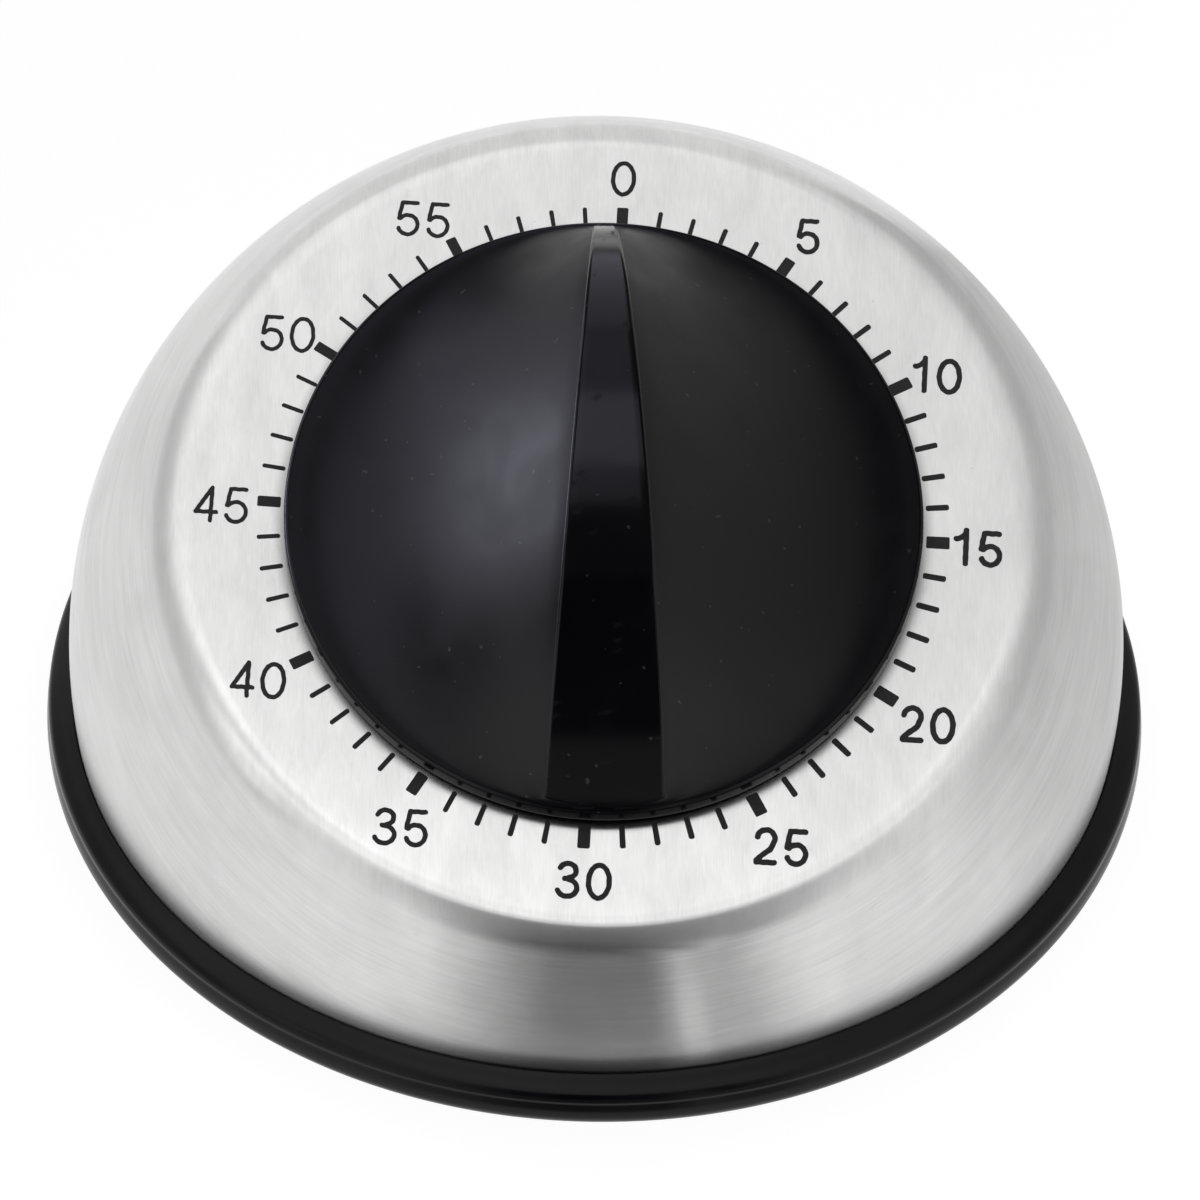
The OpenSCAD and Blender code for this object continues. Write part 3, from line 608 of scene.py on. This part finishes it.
# How far each numeral is printed from its even place, in mm along u and v.
PRINT_SHIFT = (
    (-0.1, 0.0), (0.0, -0.1), (-0.4, -0.6), (-0.55, -0.25), (0.25, -0.45), (0.3, -0.35),
    (0.15, -0.1), (0.7, -0.7), (-0.25, -0.1), (-0.25, -0.5), (-0.15, -0.45), (-1.0, -0.6),
)
points, faces = [], []
for i in range(12):
    minutes = 5 * i
    pen = 0.102 + 0.044 * boldness(MAJOR_STEP * i)
    a = math.radians(90 - MAJOR_STEP * i)
    middle = np.array([math.cos(a), math.sin(a)]) * NUMERAL_R
    text = [int(c) for c in str(minutes)]
    for place, d in enumerate(text):
        shift = (place - (len(text) - 1) / 2) * PITCH * NUMERAL_HEIGHT
        xs = np.arange(-1.35, 1.36, GRID_STEP)
        ys = np.arange(-0.25, NUMERAL_HEIGHT + 0.26, GRID_STEP)
        grid = np.stack(np.meshgrid(xs, ys, indexing="ij"), -1) / NUMERAL_HEIGHT
        wave_across = np.sin(grid[..., 0] * 31 + rng.uniform(0, 6))
        wave_up = np.sin(grid[..., 1] * 23 + rng.uniform(0, 6))
        uneven = 0.006 * wave_across * wave_up
        field = stroke_distance(grid, digit_strokes(d, pen)) - pen / 2 + uneven
        flat_points, cells = filled(field, xs, ys)
        solid, shapes = raised(flat_points, cells, INK_HEIGHT)
        first = len(points)
        turn = math.radians(-PRINT_TURN)
        for x, y, w in solid:
            px, py = middle[0] + x + shift, middle[1] + y - NUMERAL_HEIGHT / 2
            points.append((
                px * math.cos(turn) - py * math.sin(turn) + PRINT_SHIFT[i][0],
                px * math.sin(turn) + py * math.cos(turn) + PRINT_SHIFT[i][1], w,
            ))
        faces += [[k + first for k in f] for f in shapes]
piece("printed_numerals", points, faces, INK, "case", ["numerals"])

# ---------- knob ----------

KNOB_R = 25.02
GAP = 0.3
RIM = 2.05
CREST = 15.95  # above the rim
TOP_R = 24.6
STEP_UP = 0.05
CORNER = 0.4
WALL_TOP = 25.0
WALL_FOOT_ROUND = 0.2
LIP, LIP_ROUND = 1.35, 0.25
RECESS = 1.1
HUB_R, HUB_BOSS_R, HUB_DEPTH = 10.6, 9.2, 3.3
BORE_R, BORE_TOP = 2.05, 12.3
POINTER_W, NEAR_W = 1.6, 9.5
POINTER_TURN = 0.4
ROWS = 180
BEVEL = 0.32
BEVEL_DROP = 0.8
HOLLOW = 1.75  # how hard the finger faces are hollowed
FACE_SHARES = np.linspace(0, 1, 30) ** 1.15


def crest_height(v):
    """Height of the grip's crest over the rim: one arc from rim to rim."""
    rise = CREST - STEP_UP
    r = (TOP_R ** 2 + rise ** 2) / (2 * rise)
    return math.sqrt(max(0.0, r * r - v * v)) - (r - rise)


def grip_half(v):
    """Half the grip's width, which narrows evenly to the pointer."""
    return (NEAR_W + (POINTER_W - NEAR_W) * (v / KNOB_R + 1) / 2) / 2


def top_row(v):
    """Points across the knob's top at v, from the left rim to the right rim, with their polish."""
    edge = math.sqrt(max(TOP_R ** 2 - v * v, 0.0))
    high = crest_height(v)
    half = min(grip_half(v), 0.985 * edge)
    bevel = min(BEVEL, 0.3 * half, 0.35 * high + 0.01)
    right = []
    for s in np.linspace(0, 1, 6):
        right.append((s * (half - bevel), high, 1.0))
    for a in np.radians((18, 36, 54, 72)):
        drop = bevel * (1 - math.cos(a)) * BEVEL_DROP
        right.append((half - bevel + bevel * math.sin(a), high - drop, 1.0 - 0.6 * a / 1.6))
    start = high - bevel * BEVEL_DROP
    for t in FACE_SHARES:
        q = t ** 1.1
        right.append((half + (edge - half) * t, max(start, 0.0) * (1 - q) ** HOLLOW, 0.0))
    left = [(-x, h, g) for x, h, g in right[:0:-1]]
    return [(x, v, RIM + STEP_UP + h) for x, h, _ in left + right], [g for _, _, g in left + right]


row_turns = np.radians(np.linspace(-88, 88, ROWS + 1))
grid_points, polish = [], []
for turn in row_turns:
    row, gloss = top_row(TOP_R * math.sin(turn))
    grid_points.append(row)
    polish.append(gloss)
grid_points, polish = np.array(grid_points), np.array(polish)
columns = grid_points.shape[1]


def grid_index(j, k):
    return j * columns + k


points = [tuple(p) for p in grid_points.reshape(-1, 3)]
gloss = list(polish.reshape(-1))
faces = [
    (grid_index(j, k), grid_index(j, k + 1), grid_index(j + 1, k + 1), grid_index(j + 1, k))
    for j in range(ROWS) for k in range(columns - 1)
]
border = [grid_index(0, k) for k in range(columns)]
border += [grid_index(j, columns - 1) for j in range(1, ROWS + 1)]
border += [grid_index(ROWS, k) for k in range(columns - 2, -1, -1)]
border += [grid_index(j, 0) for j in range(ROWS - 1, 0, -1)]


def skirt(profile, loop, shine):
    """Rings below a border, each the border moved to a radius and a height. Gives the last ring."""
    previous = loop
    for r, w in profile:
        following = []
        for index in loop:
            x, y = points[index][0], points[index][1]
            size = math.hypot(x, y)
            following.append(len(points))
            points.append((x * r / size, y * r / size, w))
            gloss.append(shine)
        count = len(loop)
        for k in range(count):
            n = (k + 1) % count
            faces.append((previous[n], previous[k], following[k], following[n]))
        previous = following
    return previous


outside = arc((WALL_TOP - CORNER, RIM - CORNER + STEP_UP), CORNER, 72, 0, 7)
outside += [(KNOB_R, 1.2), (KNOB_R, 0.7)]
outside += arc((KNOB_R - WALL_FOOT_ROUND, GAP + WALL_FOOT_ROUND), WALL_FOOT_ROUND, 0, -90, 4)
outside += [(KNOB_R - LIP, GAP)]
outside += arc((KNOB_R - LIP, GAP + LIP_ROUND), LIP_ROUND, -90, -180, 4)
outside += [(KNOB_R - LIP - LIP_ROUND, RECESS), (17.0, RECESS), (HUB_R, RECESS), (HUB_R, GAP)]
outside += [(HUB_BOSS_R, GAP), (HUB_BOSS_R, HUB_DEPTH), (4.2, HUB_DEPTH), (2.35, HUB_DEPTH)]
last = skirt(outside, border, 0.8)
bore = skirt([(BORE_R, HUB_DEPTH + 0.3), (BORE_R, BORE_TOP)], last, 0.2)
faces.append(tuple(bore))
knob_points = np.array(points)
angle = math.radians(-POINTER_TURN)
x, y = knob_points[:, 0].copy(), knob_points[:, 1].copy()
knob_points[:, 0] = x * math.cos(angle) - y * math.sin(angle)
knob_points[:, 1] = x * math.sin(angle) + y * math.cos(angle)
knob = piece(
    "moulded_knob", knob_points, faces, KNOB, "knob_and_arbor", ["knob"], sharp=38,
)

# The material reads how polished each point is. Points that met in piece() are matched by place.
attribute = knob.data.attributes.new("polish", "FLOAT", "POINT")
by_place = {tuple(np.round(p, 7)): g for p, g in zip(placed(knob_points), gloss)}
corners = [tuple(np.round(np.array(v.co, float), 7)) for v in knob.data.vertices]
attribute.data.foreach_set("value", [by_place.get(c, 0.0) for c in corners])

# ---------- floor ----------

bpy.ops.mesh.primitive_circle_add(vertices=96, radius=3.0, fill_type="NGON", location=(0, 0, 0))
floor = bpy.context.object
floor.name = "floor"
p = Paint("pale_floor")
shade = p.tint(p.noise(p.here(dial=False), 0.01, 2), (0.30, 0.30, 0.30), (0.32, 0.32, 0.32))
floor.data.materials.append(p.done(
    Base_Color=shade, Roughness=0.8, Emission_Color=(1, 1, 1, 1), Emission_Strength=0.96,
))
floor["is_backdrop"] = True

# ---------- light ----------

CENTRE = Vector((0, 0, 0.03))
ARM = 0.6
steel_only = bpy.data.collections.new("steel_only")
knob_only = bpy.data.collections.new("knob_only")
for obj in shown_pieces():
    (knob_only if obj is knob else steel_only).objects.link(obj)


def heading(azimuth, elevation):
    """Direction from the object towards an azimuth, 0 in front and 90 on the right, and an elevation."""
    a, e = math.radians(azimuth), math.radians(elevation)
    return Vector((math.sin(a) * math.cos(e), -math.cos(a) * math.cos(e), math.sin(e)))


def softbox(name, place, aim, width, height, radiance, only):
    """An area light at place, facing aim, for one collection. Its power follows from its radiance."""
    data = bpy.data.lights.new(name, "AREA")
    data.shape = "RECTANGLE"
    data.size, data.size_y = width, height
    data.energy = radiance * math.pi * width * height
    lamp = bpy.data.objects.new(name, data)
    bpy.context.scene.collection.objects.link(lamp)
    lamp.location = place
    lamp.rotation_mode = "QUATERNION"
    lamp.rotation_quaternion = (Vector(place) - Vector(aim)).to_track_quat("Z", "Y")
    lamp.light_linking.receiver_collection = only
    if only is knob_only:
        data.color = (0.97, 0.97, 1.16)


def standing(name, azimuth, elevation, width, height, radiance, only):
    """A softbox at arm's length that faces the object."""
    place = CENTRE + heading(azimuth, elevation) * ARM
    softbox(name, place, CENTRE, width, height, radiance, only)


# A closed tent of soft panels lights the steel.
WALL = 0.62
MIDDLE = Vector((0, 0, WALL / 2))
softbox("tent_top", (0, 0, WALL), (0, 0, 0), 2 * WALL, 2 * WALL, 0.8, steel_only)
softbox("tent_top_front", (0, -0.2, ARM), CENTRE, 0.5, 0.3, 0.4, steel_only)
softbox("tent_top_left", (-0.2, 0.1, ARM), CENTRE, 0.5, 0.5, 0.35, steel_only)
softbox("tent_left", (-WALL, 0, WALL / 2), MIDDLE, 2 * WALL, WALL, 0.55, steel_only)
softbox("tent_right", (WALL, 0, WALL / 2), MIDDLE, 2 * WALL, WALL, 0.75, steel_only)
softbox("tent_back", (0, WALL, WALL / 2), MIDDLE, 2 * WALL, WALL, 0.8, steel_only)
standing("tent_front_left", -42, 34, 0.42, 0.34, 1.05, steel_only)
standing("tent_front_right", 45, 34, 0.42, 0.34, 1.2, steel_only)

# Narrower panels give the knob its highlights.
softbox("knob_top", (-0.05, 0.09, ARM), (-0.05, 0.09, 0), 0.17, 0.72, 0.72, knob_only)
softbox("knob_zenith", (0, 0, 0.58), (0, 0, 0), 0.22, 0.25, 0.72, knob_only)
standing("knob_back", 180, 28, 0.11, 0.5, 0.75, knob_only)
standing("knob_left", -80, 42, 0.55, 0.4, 1, knob_only)
standing("knob_back_left", -130, 22, 0.3, 0.3, 1.2, knob_only)
standing("knob_key", -109, 4, 0.3, 0.17, 6.4, knob_only)


def surround_glow(p):
    """Brightness of the card by azimuth: dark in front, a bright strip, and paler to both sides."""
    x, y, z = p.parts(p.here(dial=False))
    azimuth = p.math("ARCTAN2", x, p.math("MULTIPLY", y, -1.0))
    azimuth = p.math("MULTIPLY", azimuth, 180 / math.pi)
    # The card is near, so a wall point that faces an azimuth sees the card at a smaller one.
    low_az, high_az = p.math("DIVIDE", azimuth, 0.66), p.math("DIVIDE", azimuth, 0.83)

    low = p.math("ADD", p.span(low_az, -6, -42, 0.25, 1.0), p.span(low_az, 9, 16, 0.0, 0.27))
    low = p.math("ADD", low, p.span(low_az, 22, 44, 0.0, 0.5))
    strip = p.math("MULTIPLY", p.span(low_az, 13.5, 16), p.span(low_az, 21, 18))
    low = p.math("ADD", low, p.math("MULTIPLY", strip, 0.2))
    low = p.math("MINIMUM", low, p.span(azimuth, 45, 75, 1.0, 0.8))

    high = p.math("ADD", p.span(high_az, -12, -36, 0.01, 1.0), p.span(high_az, 19, 42, 0.0, 0.9))
    strip = p.math("MULTIPLY", p.span(high_az, 14, 16.5), p.span(high_az, 21, 18.5))
    high = p.math("ADD", high, strip)
    high = p.math("MINIMUM", high, p.span(azimuth, 50, 80, 0.95, 0.55))
    return p.blend(p.span(z, 0, 12), low, high)


def surround():
    """A curved card on the floor and upright behind it, which only reflections see."""
    inner, outer, low, top = 47.0, 130.0, 1.5, 136.0
    turns = np.radians(np.linspace(-52, 150, 102))
    profile = [(inner, low), ((inner + outer) / 2, low), (outer, low), (outer, top / 2), (outer, top)]
    points = [
        (r * math.sin(t) * MM, -r * math.cos(t) * MM, z * MM) for r, z in profile for t in turns
    ]
    count = len(turns)
    faces = [
        (j * count + k, j * count + k + 1, (j + 1) * count + k + 1, (j + 1) * count + k)
        for j in range(len(profile) - 1) for k in range(count - 1)
    ]
    mesh = bpy.data.meshes.new("surround")
    mesh.from_pydata(points, [], faces)
    p = Paint("surround")
    mesh.materials.append(p.done(
        Base_Color=(0, 0, 0, 1), Roughness=1.0, IOR=1.0,
        Emission_Color=(1, 1, 1, 1), Emission_Strength=surround_glow(p),
    ))
    card = bpy.data.objects.new("surround", mesh)
    bpy.context.scene.collection.objects.link(card)
    card.visible_camera = False
    card.visible_diffuse = False
    card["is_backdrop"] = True


surround()

# White where the camera sees past the floor, and nearly dark for everything else.
world = bpy.data.worlds.new("studio")
bpy.context.scene.world = world
world.use_nodes = True
tree = world.node_tree
tree.nodes.clear()
path = tree.nodes.new("ShaderNodeLightPath")
seen = tree.nodes.new("ShaderNodeMixShader")
world_out = tree.nodes.new("ShaderNodeOutputWorld")
tree.links.new(path.outputs["Is Camera Ray"], seen.inputs[0])
for slot, strength in ((1, 0.08), (2, 1.0)):
    background = tree.nodes.new("ShaderNodeBackground")
    background.inputs[0].default_value = (1, 1, 1, 1)
    background.inputs[1].default_value = strength
    tree.links.new(background.outputs[0], seen.inputs[slot])
tree.links.new(seen.outputs[0], world_out.inputs[0])

# ---------- camera ----------

VIEW_AZIMUTH, VIEW_ELEVATION, VIEW_ROLL = -1.92, 45.2, 1.46
camera_data = bpy.data.cameras.new("camera")
camera_data.sensor_width = 36.0
camera_data.lens = 209.43
camera_data.clip_start, camera_data.clip_end = 0.01, 20.0
camera_data.dof.use_dof = False
camera = bpy.data.objects.new("camera", camera_data)
bpy.context.scene.collection.objects.link(camera)
camera.location = (-0.013183, -0.399678, 0.416855)
level = heading(VIEW_AZIMUTH, VIEW_ELEVATION).to_track_quat("Z", "Y")
camera.rotation_mode = "QUATERNION"
camera.rotation_quaternion = level @ Quaternion((0, 0, 1), math.radians(VIEW_ROLL))
bpy.context.scene.camera = camera
bpy.context.scene.view_settings.view_transform = "Standard"
bpy.context.scene.view_settings.look = "None"
